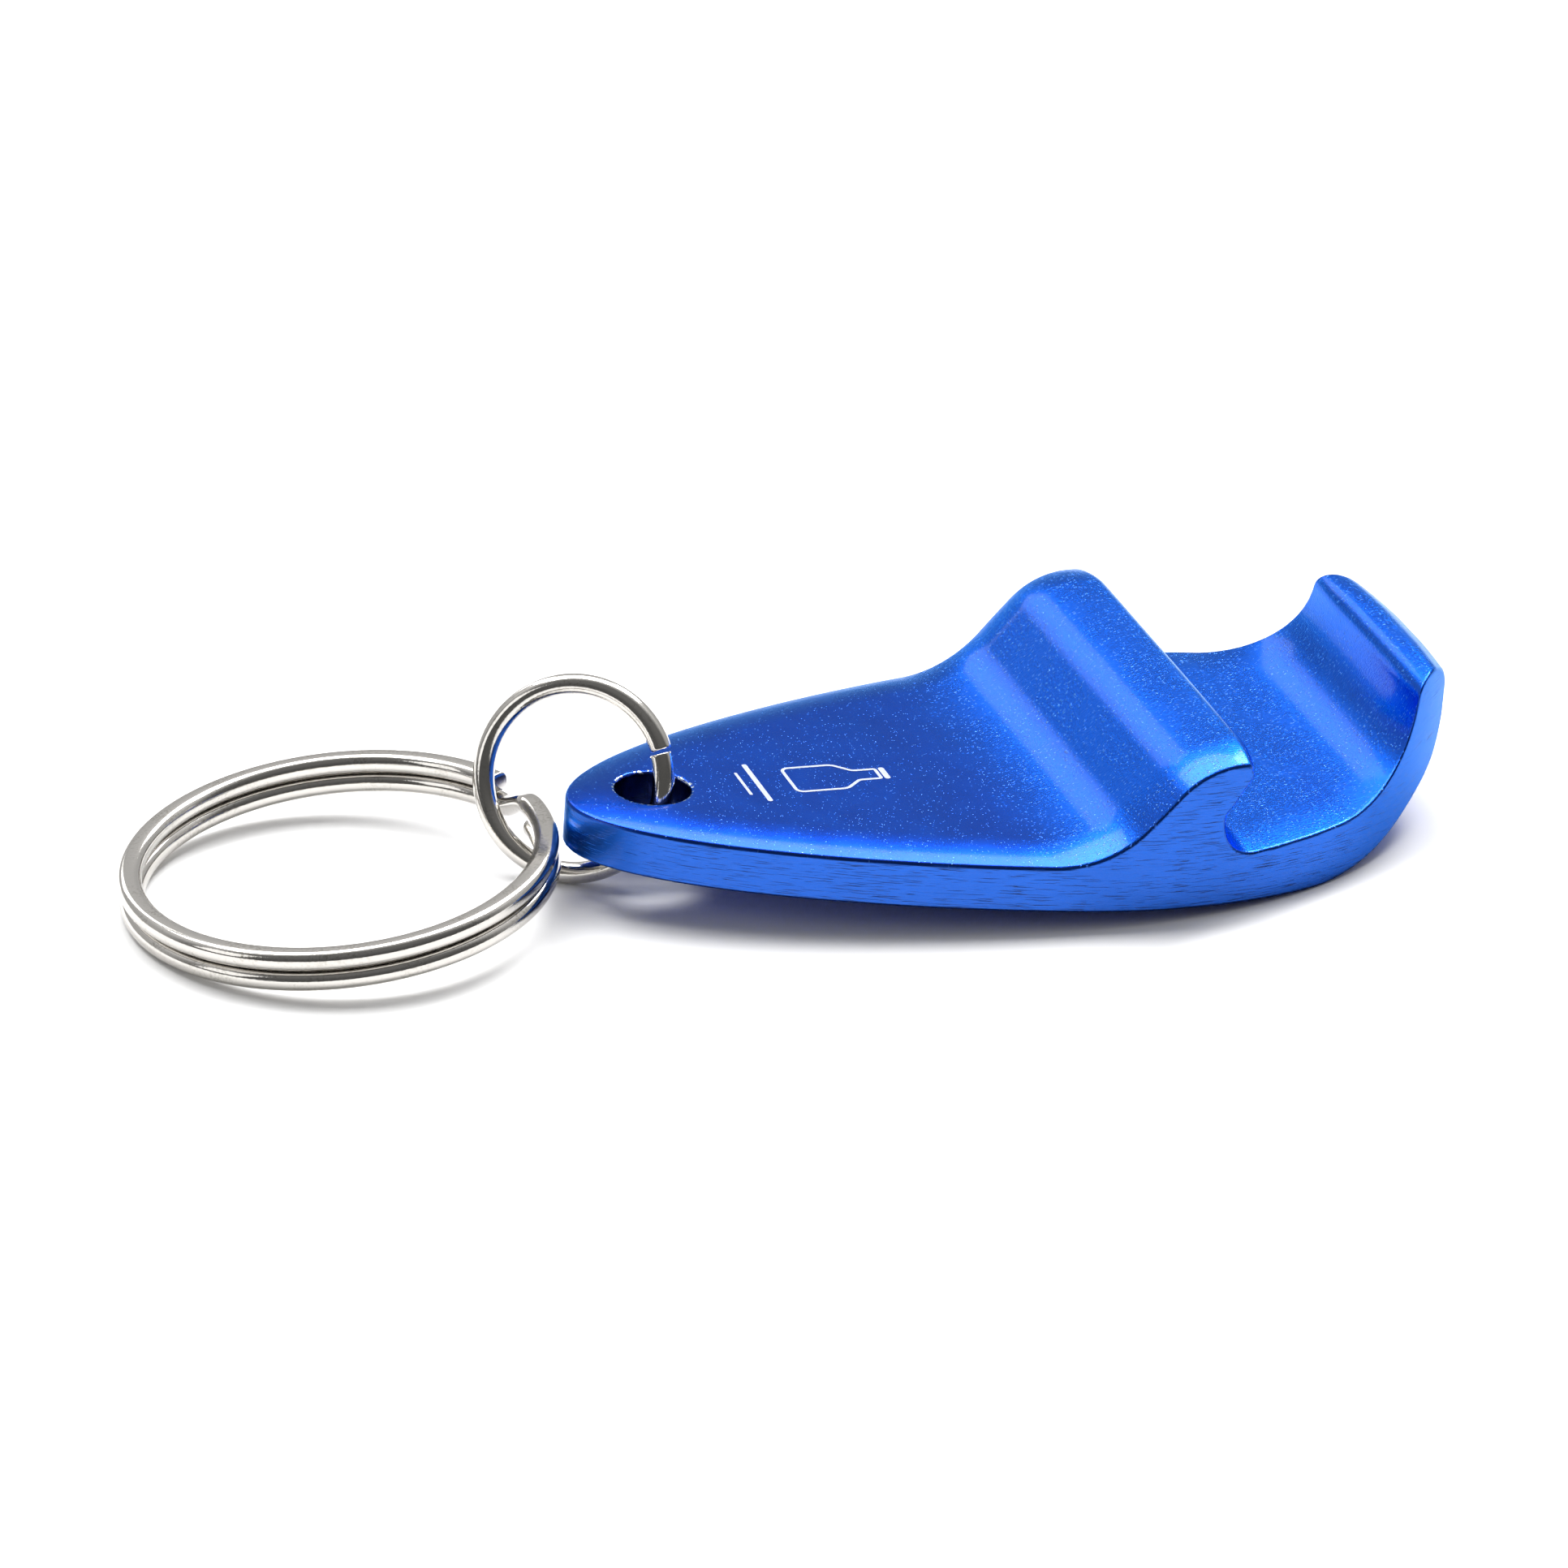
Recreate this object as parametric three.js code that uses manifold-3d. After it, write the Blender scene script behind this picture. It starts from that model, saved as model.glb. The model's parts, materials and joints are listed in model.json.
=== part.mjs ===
// Keychain bottle opener: a plate sawn from one aluminium extrusion, a jump ring through its hole
// and a split ring for keys. Millimetres, +Z up. The set lies at rest on z = 0 with the keys' end
// towards -X and the opener's lip towards +X, and the origin is under the middle of its box.
import * as THREE from "three";
import { mergeVertices } from "three/addons/utils/BufferGeometryUtils.js";
import Module from "manifold-3d";

const wasm = await Module();
wasm.setup();
const degrees = THREE.MathUtils.degToRad;

// ---- Driving dimensions (millimetres and degrees) ----

const plate = { length: 61.5, width: 34, thickness: 4, restPitch: 4.2 };
// The outline seen from above: the nose's fullness, and how far each flank stays near full width.
const outline = {
  widestFromLip: 24.2,
  noseFullness: 8.7,
  flankReach: 8.3,
  shoulderReach: 14.8,
  lipCornerIn: 3.9,
  lipCornerHalfWidth: 10.2,
  lipHalfWidth: 5.2,
};
// The hook that bites under a cap's edge, measured from the lip's back and the plate's top face.
const hook = {
  footFromLip: 28.8,
  footRadius: 7.6,
  crownFromLip: 22.3,
  crownHeight: 7.15,
  crownRadius: 6.6,
  tipFromLip: 17.3,
  tipHeight: 6.9,
  tipRadius: 1.05,
  rootFromLip: 22.2,
  rootRadius: 2,
};
// The lip that rests on top of the cap, and the floor of the mouth between hook and lip.
const lip = {
  floorDrop: 0.35,
  floorCornerFromBack: 5.1,
  floorCornerRise: 1.1,
  floorRadius: 7.3,
  innerTopFromBack: 4,
  innerTopHeight: 9.8,
  innerTopRadius: 1.7,
  backTopHeight: 7.15,
  backTopRadius: 2.5,
  heelHeight: 1.5,
  heelRadius: 4.8,
  bellyFromBack: 9.1,
  bellyRadius: 15.8,
};
const hole = { diameter: 5.2, fromNose: 6 };
const jumpRing = { outerDiameter: 14.3, wire: 1.5, gap: 0.3, gapAngle: 23, yaw: -34, lean: 22 };
// How far to the opener's right the wire crosses the middle of the plate, from the hole's axis.
const threading = { across: -0.1 };
const splitRing = {
  outerDiameter: 30,
  bandWidth: 1.7,
  turnHeight: 1.4,
  turnGap: 0.1,
  cornerRadius: 0.45,
  cutAngle: 4.5,
  jogAngle: 17.5,
  endGap: 0.2,
};
// Where the two rings meet: the angle in the jump ring's own plane at which the band sits in the
// wire's bend, and the angle around the split ring at which the wire passes.
const link = { bendAngle: -122, aroundSplitRing: 3.4 };
const clearance = { wireToBand: 0.35, noseToBand: 0.35, wireToHole: 0.35 };

// Facets.
const arcStep = degrees(7.5);
const holeSides = 48;
const wireSides = 12;
const ringSteps = 60;
const turnSteps = 57;
const jogSteps = 5;
const cutMargin = 2;
const placingRounds = 20;

// ---- Materials ----

const anodisedBlue = new THREE.MeshStandardMaterial({
  color: 0x1446c8,
  roughness: 0.32,
  metalness: 0.9,
});
const nickelPlate = new THREE.MeshStandardMaterial({
  color: 0xcfccc6,
  roughness: 0.18,
  metalness: 1,
});

// ---- Shape helpers ----

// A closed outline with each corner [x, y, radius] rounded by an arc of its radius.
function roundedOutline(corners) {
  const points = [];
  corners.forEach(([x, y, radius], i) => {
    const corner = new THREE.Vector2(x, y);
    if (!radius) {
      points.push(corner);
      return;
    }
    const before = corners.at(i - 1);
    const after = corners[(i + 1) % corners.length];
    const toBefore = new THREE.Vector2(before[0], before[1]).sub(corner).normalize();
    const toAfter = new THREE.Vector2(after[0], after[1]).sub(corner).normalize();
    const halfAngle = Math.acos(toBefore.dot(toAfter)) / 2;
    const middle = toBefore.clone().add(toAfter).normalize();
    const centre = corner.clone().addScaledVector(middle, radius / Math.sin(halfAngle));
    const tangentLength = radius / Math.tan(halfAngle);
    const start = corner.clone().addScaledVector(toBefore, tangentLength).sub(centre).angle();
    const end = corner.clone().addScaledVector(toAfter, tangentLength).sub(centre).angle();
    const turn = THREE.MathUtils.euclideanModulo(end - start + Math.PI, 2 * Math.PI) - Math.PI;
    const steps = Math.max(2, Math.ceil(Math.abs(turn) / arcStep));
    for (let k = 0; k <= steps; k++) {
      const angle = start + (turn * k) / steps;
      const spoke = new THREE.Vector2(Math.cos(angle), Math.sin(angle));
      points.push(centre.clone().addScaledVector(spoke, radius));
    }
  });
  return points;
}

// A closed three.js geometry as a solid that can be joined and cut.
function solidOf(geometry) {
  const bare = geometry.index ? geometry.toNonIndexed() : geometry.clone();
  bare.deleteAttribute("normal");
  bare.deleteAttribute("uv");
  const merged = mergeVertices(bare, 1e-4);
  const triVerts = new Uint32Array(merged.index.array);
  const vertProperties = merged.attributes.position.array;
  return new wasm.Manifold(new wasm.Mesh({ numProp: 3, vertProperties, triVerts }));
}

function geometryOf(solid) {
  const { vertProperties, triVerts } = solid.getMesh();
  const geometry = new THREE.BufferGeometry();
  geometry.setAttribute("position", new THREE.BufferAttribute(vertProperties, 3));
  geometry.setIndex(new THREE.BufferAttribute(triVerts, 1));
  geometry.computeVertexNormals();
  return geometry;
}

// A bar of constant section swept through stations, each with a centre and the directions that
// the section's two coordinates take there. Both ends are closed flat.
function sweep(section, stations) {
  const positions = [];
  for (const { centre, out, up } of stations)
    for (const point of section) {
      const corner = centre.clone().addScaledVector(out, point.x).addScaledVector(up, point.y);
      positions.push(...corner.toArray());
    }
  const sides = section.length;
  const faces = [];
  for (let i = 0; i + 1 < stations.length; i++)
    for (let k = 0; k < sides; k++) {
      const a = i * sides + k;
      const b = i * sides + ((k + 1) % sides);
      faces.push(a, b, a + sides, b, b + sides, a + sides);
    }
  const last = (stations.length - 1) * sides;
  for (let k = 1; k + 1 < sides; k++) faces.push(0, k + 1, k, last, last + k, last + k + 1);
  const geometry = new THREE.BufferGeometry();
  geometry.setAttribute("position", new THREE.Float32BufferAttribute(positions, 3));
  geometry.setIndex(faces);
  geometry.computeVertexNormals();
  return geometry;
}

// ---- Opener body: profile along X and Z, cut to the outline in X and Y, then drilled ----

// Clockwise from under the nose. Both nose corners lie outside the outline, which cuts the nose.
function profileCorners() {
  const back = plate.length;
  return [
    [-cutMargin, -plate.thickness, 0],
    [-cutMargin, 0, 0],
    [back - hook.footFromLip, 0, hook.footRadius],
    [back - hook.crownFromLip, hook.crownHeight, hook.crownRadius],
    [back - hook.tipFromLip, hook.tipHeight, hook.tipRadius],
    [back - hook.rootFromLip, -lip.floorDrop, hook.rootRadius],
    [back - lip.floorCornerFromBack, lip.floorCornerRise, lip.floorRadius],
    [back - lip.innerTopFromBack, lip.innerTopHeight, lip.innerTopRadius],
    [back, lip.backTopHeight, lip.backTopRadius],
    [back, lip.heelHeight, lip.heelRadius],
    [back - lip.bellyFromBack, -plate.thickness, lip.bellyRadius],
  ];
}

function profileSolid() {
  const shape = new THREE.Shape(roundedOutline(profileCorners()));
  const depth = plate.width + 2 * cutMargin;
  const slab = new THREE.ExtrudeGeometry(shape, { depth, bevelEnabled: false });
  slab.rotateX(Math.PI / 2).translate(0, depth / 2, 0);
  return solidOf(slab);
}

// One flank from the nose tip to the lip, on the side given by its sign.
function flank(side) {
  const half = plate.width / 2;
  const widest = plate.length - outline.widestFromLip;
  const at = (x, y) => new THREE.Vector2(x, side * y);
  const path = new THREE.CurvePath();
  path.add(new THREE.CubicBezierCurve(
    at(0, 0), at(0, outline.noseFullness), at(widest - outline.flankReach, half), at(widest, half),
  ));
  path.add(new THREE.CubicBezierCurve(
    at(widest, half),
    at(widest + outline.shoulderReach, half),
    at(plate.length - outline.lipCornerIn, outline.lipCornerHalfWidth),
    at(plate.length, outline.lipHalfWidth),
  ));
  return path.getPoints(26);
}

function outlineSolid() {
  const pastLip = plate.length + cutMargin;
  const points = [
    ...flank(-1),
    new THREE.Vector2(pastLip, -outline.lipHalfWidth),
    new THREE.Vector2(pastLip, outline.lipHalfWidth),
    ...flank(1).reverse().slice(0, -1),
  ];
  const top = lip.innerTopHeight + cutMargin;
  const depth = top + plate.thickness + cutMargin;
  const block = new THREE.ExtrudeGeometry(new THREE.Shape(points), { depth, bevelEnabled: false });
  return solidOf(block.translate(0, 0, top - depth));
}

function drillSolid() {
  const radius = hole.diameter / 2;
  const depth = plate.thickness + 2 * cutMargin;
  const drill = new THREE.CylinderGeometry(radius, radius, depth, holeSides);
  return solidOf(drill.rotateX(Math.PI / 2).translate(hole.fromNose, 0, -plate.thickness / 2));
}

function makeOpenerBody() {
  const body = profileSolid().intersect(outlineSolid()).subtract(drillSolid());
  const mesh = new THREE.Mesh(geometryOf(body), anodisedBlue);
  mesh.name = "opener_body";
  return mesh;
}

// ---- Jump ring: round wire bent to a circle in its own XZ plane, with a butt joint ----

const jumpRadius = (jumpRing.outerDiameter - jumpRing.wire) / 2;

function makeJumpRing() {
  const section = [];
  for (let k = 0; k < wireSides; k++) {
    const angle = (2 * Math.PI * k) / wireSides;
    section.push(new THREE.Vector2(Math.cos(angle), Math.sin(angle)).multiplyScalar(jumpRing.wire / 2));
  }
  const halfGap = jumpRing.gap / 2 / jumpRadius;
  const first = degrees(jumpRing.gapAngle) + halfGap;
  const sweepAngle = 2 * Math.PI - 2 * halfGap;
  const stations = [];
  for (let i = 0; i <= ringSteps; i++) {
    const angle = first + (sweepAngle * i) / ringSteps;
    const out = new THREE.Vector3(Math.cos(angle), 0, Math.sin(angle));
    stations.push({
      centre: out.clone().multiplyScalar(jumpRadius),
      out,
      up: new THREE.Vector3(0, 1, 0),
    });
  }
  const mesh = new THREE.Mesh(sweep(section, stations), nickelPlate);
  mesh.name = "jump_ring";
  return mesh;
}

// ---- Split ring: two turns of flat band, one above the other, joined by a jog ----

const bandRadius = (splitRing.outerDiameter - splitRing.bandWidth) / 2;
const turnPitch = splitRing.turnHeight + splitRing.turnGap;
const stackHeight = splitRing.turnHeight + turnPitch;

function bandSection() {
  const halfWidth = splitRing.bandWidth / 2;
  const halfHeight = splitRing.turnHeight / 2;
  const section = [];
  for (const [x, y, from] of [[1, 1, 0], [-1, 1, 90], [-1, -1, 180], [1, -1, 270]])
    for (const turn of [0, 45, 90]) {
      const angle = degrees(from + turn);
      section.push(new THREE.Vector2(
        x * (halfWidth - splitRing.cornerRadius) + splitRing.cornerRadius * Math.cos(angle),
        y * (halfHeight - splitRing.cornerRadius) + splitRing.cornerRadius * Math.sin(angle),
      ));
    }
  return section;
}

// Band centre after so much of the wound angle: a level turn, the jog up, and a second level turn.
function bandStation(wound, levelAngle, jogAngle) {
  const rise = THREE.MathUtils.smoothstep(wound, levelAngle, levelAngle + jogAngle);
  const angle = degrees(splitRing.cutAngle) - wound;
  const out = new THREE.Vector3(Math.cos(angle), Math.sin(angle), 0);
  const centre = out.clone().multiplyScalar(bandRadius).setZ((rise - 0.5) * turnPitch);
  return { centre, out, up: new THREE.Vector3(0, 0, 1) };
}

function makeSplitRing() {
  const jogAngle = degrees(splitRing.jogAngle);
  const levelAngle = 2 * Math.PI - jogAngle;
  const endAngle = splitRing.endGap / bandRadius;
  const wound = [];
  for (let i = 0; i < turnSteps; i++) wound.push((levelAngle * i) / turnSteps);
  for (let i = 0; i < jogSteps; i++) wound.push(levelAngle + (jogAngle * i) / jogSteps);
  for (let i = 0; i < turnSteps; i++) wound.push(2 * Math.PI + (levelAngle * i) / turnSteps);
  wound.push(2 * Math.PI + levelAngle - endAngle);
  const stations = wound.map((angle) => bandStation(angle, levelAngle, jogAngle));
  const mesh = new THREE.Mesh(sweep(bandSection(), stations), nickelPlate);
  mesh.name = "split_ring";
  return mesh;
}

// ---- Assembly, lying at rest ----

const model = new THREE.Group();

// The opener lies nose up on its belly: it is pitched, then raised until its lowest point is on z = 0.
const openerPose = new THREE.Group();
openerPose.rotation.y = degrees(plate.restPitch);
const pitched = ([x, y]) => y * Math.cos(openerPose.rotation.y) - x * Math.sin(openerPose.rotation.y);
openerPose.position.z = -Math.min(
  ...roundedOutline(profileCorners()).filter(({ x }) => x > 0).map(({ x, y }) => pitched([x, y])),
);
openerPose.add(makeOpenerBody());

// The jump ring leans back with its lowest point on z = 0, and the split ring lies on its far edge
// with its near edge propped up by the jump ring's wire.
const jumpPose = new THREE.Group();
jumpPose.rotation.set(-degrees(jumpRing.lean), 0, degrees(jumpRing.yaw), "ZXY");
const splitPose = new THREE.Group();
const level = new THREE.Vector3(1, 0, 0).applyEuler(jumpPose.rotation);
const facing = new THREE.Vector3(0, 1, 0).applyEuler(jumpPose.rotation);
const uphill = new THREE.Vector3(0, 0, 1).applyEuler(jumpPose.rotation);

// The jump ring's wire crosses the plate in the hole, so the ring's centre is found from that
// crossing along the ring's own level direction.
function placeJumpRing(pastHole) {
  const crossing = new THREE.Vector3(
    hole.fromNose + pastHole, threading.across, -plate.thickness / 2,
  ).applyEuler(openerPose.rotation).add(openerPose.position);
  const centreHeight = jumpRadius * uphill.z + jumpRing.wire / 2;
  const climb = (crossing.z - centreHeight) / uphill.z;
  jumpPose.position
    .copy(crossing)
    .addScaledVector(uphill, -climb)
    .addScaledVector(level, -Math.sqrt(jumpRadius ** 2 - climb ** 2));
}

// The band's lower inner corner sits a clearance inside the wire's bend. The band's centre line is
// found from that corner, within the jump ring's plane, and the tilt from the height it has there.
function placeSplitRing() {
  const innerRadius = jumpRadius - jumpRing.wire / 2;
  const reach = innerRadius - clearance.wireToBand - splitRing.cornerRadius;
  const corner = jumpPose.position.clone()
    .addScaledVector(level, reach * Math.cos(degrees(link.bendAngle)))
    .addScaledVector(uphill, reach * Math.sin(degrees(link.bendAngle)));
  const around = degrees(link.aroundSplitRing);
  const outerRadius = splitRing.outerDiameter / 2;
  for (let round = 0; round < placingRounds; round++) {
    const up = new THREE.Vector3(0, 0, 1).applyEuler(splitPose.rotation);
    const out = new THREE.Vector3(Math.cos(around), Math.sin(around), 0).applyEuler(splitPose.rotation);
    const onward = up.clone().cross(out);
    const toMiddle = out.clone().multiplyScalar(splitRing.bandWidth / 2 - splitRing.cornerRadius)
      .addScaledVector(up, stackHeight / 2 - splitRing.cornerRadius);
    toMiddle.addScaledVector(onward, -toMiddle.dot(facing) / onward.dot(facing));
    const crossing = corner.clone().add(toMiddle);
    splitPose.position.copy(crossing).addScaledVector(out, -bandRadius);
    const rise = crossing.z - (stackHeight / 2) * up.z;
    splitPose.rotation.y = -Math.asin(rise / (outerRadius + bandRadius * Math.cos(around)));
  }
}

// Places both rings and gives the gap that is left between the nose and the split ring.
function placeRings(pastHole) {
  placeJumpRing(pastHole);
  placeSplitRing();
  const nose = new THREE.Vector3(0, 0, -plate.thickness).applyEuler(openerPose.rotation);
  const apart = Math.hypot(nose.x - splitPose.position.x, nose.y - splitPose.position.y);
  return apart - (splitRing.outerDiameter / 2) * Math.cos(splitPose.rotation.y);
}

// The rings are drawn back from the lip until the wire meets the hole's wall or the band nears the
// nose, whichever comes first.
const wireSlant = (plate.thickness / 2) * Math.tan(degrees(jumpRing.lean));
const play = (hole.diameter - jumpRing.wire) / 2 - clearance.wireToHole - wireSlant;
if (placeRings(play) < clearance.noseToBand) {
  let clear = -play;
  let tooFar = play;
  for (let round = 0; round < placingRounds; round++) {
    const tried = (clear + tooFar) / 2;
    if (placeRings(tried) < clearance.noseToBand) tooFar = tried;
    else clear = tried;
  }
}

// The origin goes under the middle of the whole set's box.
jumpPose.add(makeJumpRing());
splitPose.add(makeSplitRing());
model.add(openerPose, jumpPose, splitPose);
model.updateMatrixWorld(true);
const box = new THREE.Box3().setFromObject(model, true);
const middle = box.getCenter(new THREE.Vector3());
model.position.set(-middle.x, -middle.y, -box.min.z);

export default model;
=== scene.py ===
import json
import logging
import math
from dataclasses import dataclass
from enum import Enum

import bmesh
import bpy
import numpy as np
from mathutils import Matrix, Vector


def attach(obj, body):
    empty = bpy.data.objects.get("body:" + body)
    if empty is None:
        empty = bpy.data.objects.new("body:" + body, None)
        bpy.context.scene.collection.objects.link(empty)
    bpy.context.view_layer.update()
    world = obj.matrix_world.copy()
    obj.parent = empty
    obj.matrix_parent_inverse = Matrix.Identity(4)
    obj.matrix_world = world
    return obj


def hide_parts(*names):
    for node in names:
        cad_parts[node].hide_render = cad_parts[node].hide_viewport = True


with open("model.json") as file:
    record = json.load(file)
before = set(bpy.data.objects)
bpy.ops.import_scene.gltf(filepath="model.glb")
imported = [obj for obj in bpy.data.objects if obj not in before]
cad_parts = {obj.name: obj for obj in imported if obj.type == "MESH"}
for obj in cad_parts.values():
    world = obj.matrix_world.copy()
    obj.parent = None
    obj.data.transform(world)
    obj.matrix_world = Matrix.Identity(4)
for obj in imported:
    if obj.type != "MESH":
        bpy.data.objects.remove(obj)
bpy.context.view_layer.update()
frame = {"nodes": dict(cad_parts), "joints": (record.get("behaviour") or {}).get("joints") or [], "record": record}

MM = 0.001
LOG = logging.getLogger("keychain_bottle_opener")

Loop = list[tuple[float, float, float]]
Colour = tuple[float, float, float, float]
Stretch = tuple[float, float, float]
Between = tuple[float, float]
Socket = bpy.types.NodeSocket
Piece = bpy.types.Object
Finish = bpy.types.Material


class Section(Enum):
    """The stock that a ring is wound from."""

    ROUND_WIRE = "round wire"
    FLAT_BAND = "flat band"


class Hand(Enum):
    """Which way a ring is wound, seen from above its own plane."""

    LEFT = 1.0
    RIGHT = -1.0


# ---- Places that the frame gives ----


def row_named(rows: list[dict], name: str) -> dict:
    """The row of one joint or mount, with its position in metres and its axis."""
    return next(row for row in rows if row["name"] == name)


def placement(x_axis: Vector, z_axis: Vector, origin: Vector) -> Matrix:
    """The matrix that sets a piece modelled in millimetres into the shared frame, in metres.

    Args:
        x_axis: The direction that the piece's own +X takes.
        z_axis: The direction that the piece's own +Z takes.
        origin: Where the piece's own origin goes, in metres.

    Returns:
        The matrix, which also scales millimetres to metres.
    """
    z = z_axis.normalized()
    x = (x_axis - x_axis.dot(z) * z).normalized()
    turn = Matrix((x, z.cross(x), z)).transposed().to_4x4()
    return Matrix.Translation(origin) @ turn @ Matrix.Scale(MM, 4)


# ---- Outlines and how far a point lies from them ----


def rounded_corners(corners: Loop, step: float = math.radians(3)) -> tuple[np.ndarray, np.ndarray]:
    """A closed outline with each corner rounded by an arc.

    Args:
        corners: Each corner's two coordinates and its radius, in millimetres.
        step: The largest angle between two points of an arc.

    Returns:
        The outline's points and its outward normals there, one row each.
    """
    plain = np.array(corners)[:, :2]
    hand = np.sign(np.cross(plain, np.roll(plain, -1, axis=0)).sum())
    points, normals = [], []
    for index, (x, y, radius) in enumerate(corners):
        corner = Vector((x, y))
        to_before = (Vector(corners[index - 1][:2]) - corner).normalized()
        to_after = (Vector(corners[(index + 1) % len(corners)][:2]) - corner).normalized()
        half_angle = math.acos(to_before.dot(to_after)) / 2
        centre = corner + (to_before + to_after).normalized() * radius / math.sin(half_angle)
        reach = radius / math.tan(half_angle)
        first = corner + to_before * reach - centre
        last = corner + to_after * reach - centre
        start = math.atan2(first.y, first.x)
        turn = (math.atan2(last.y, last.x) - start + math.pi) % (2 * math.pi) - math.pi
        steps = max(2, math.ceil(abs(turn) / step))
        for k in range(steps + 1):
            angle = start + turn * k / steps
            radial = Vector((math.cos(angle), math.sin(angle)))
            points.append(tuple(centre + radial * radius))
            normals.append(tuple(radial * hand * math.copysign(1, turn)))
    return np.array(points), np.array(normals)


def bezier(points: list[tuple[float, float]], steps: int) -> np.ndarray:
    """Points along a cubic Bezier curve.

    Args:
        points: The curve's four control points.
        steps: How many equal steps of its parameter to take.

    Returns:
        The points, one row each, with both ends.
    """
    t = np.linspace(0, 1, steps + 1)[:, None]
    p = np.array(points, float)
    s = 1 - t
    return s**3 * p[0] + 3 * s**2 * t * p[1] + 3 * s * t**2 * p[2] + t**3 * p[3]


@dataclass
class Nearest:
    """What a closed outline says about some points.

    Args:
        distance: How far each point lies outside the outline, negative inside it.
        normal: The outward direction there.
        run: The length along the outline, from its first point to the nearest one.
    """

    distance: np.ndarray
    normal: np.ndarray
    run: np.ndarray


@dataclass
class ClosedOutline:
    """A closed outline of many short straight pieces.

    Args:
        points: Its points, one row of two coordinates each.
        corner_normal: Its outward normal at each point, blended from both sides if it isn't given.
    """

    points: np.ndarray
    corner_normal: np.ndarray | None = None

    def __post_init__(self) -> None:
        """Works out each piece's direction, length and normals once."""
        following = np.roll(self.points, -1, axis=0)
        self.step = following - self.points
        self.length = np.linalg.norm(self.step, axis=1)
        if self.corner_normal is None:
            area = np.cross(self.points, following).sum()
            outward = np.stack([self.step[:, 1], -self.step[:, 0]], axis=1) * np.sign(area)
            outward /= self.length[:, None]
            blended = outward + np.roll(outward, 1, axis=0)
            self.corner_normal = blended / np.linalg.norm(blended, axis=1)[:, None]
        self.run_before = np.concatenate([[0], np.cumsum(self.length)[:-1]])

    def nearest(self, points: np.ndarray) -> Nearest:
        """Measures points against the outline.

        Args:
            points: The points, one row of two coordinates each.

        Returns:
            Each point's distance, outward normal and run.
        """
        count = len(points)
        least = np.full(count, np.inf)
        share = np.zeros(count)
        piece = np.zeros(count, int)
        inside = np.zeros(count, bool)
        for k, (corner, step, length) in enumerate(zip(self.points, self.step, self.length)):
            rel = points - corner
            t = np.clip((rel @ step) / length**2, 0, 1)
            away = rel - t[:, None] * step
            gap = np.einsum("ij,ij->i", away, away)
            closer = gap < least
            least[closer] = gap[closer]
            share[closer] = t[closer]
            piece[closer] = k
            crosses = (rel[:, 1] < 0) != (rel[:, 1] < step[1])
            if step[1] != 0:
                inside ^= crosses & (rel[:, 0] < rel[:, 1] * step[0] / step[1])
        after = self.corner_normal[(piece + 1) % len(self.points)]
        normal = self.corner_normal[piece] * (1 - share[:, None]) + after * share[:, None]
        normal /= np.linalg.norm(normal, axis=1)[:, None]
        distance = np.sqrt(least) * np.where(inside, -1, 1)
        return Nearest(distance, normal, self.run_before[piece] + share * self.length[piece])


# ---- Building materials out of nodes ----


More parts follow.
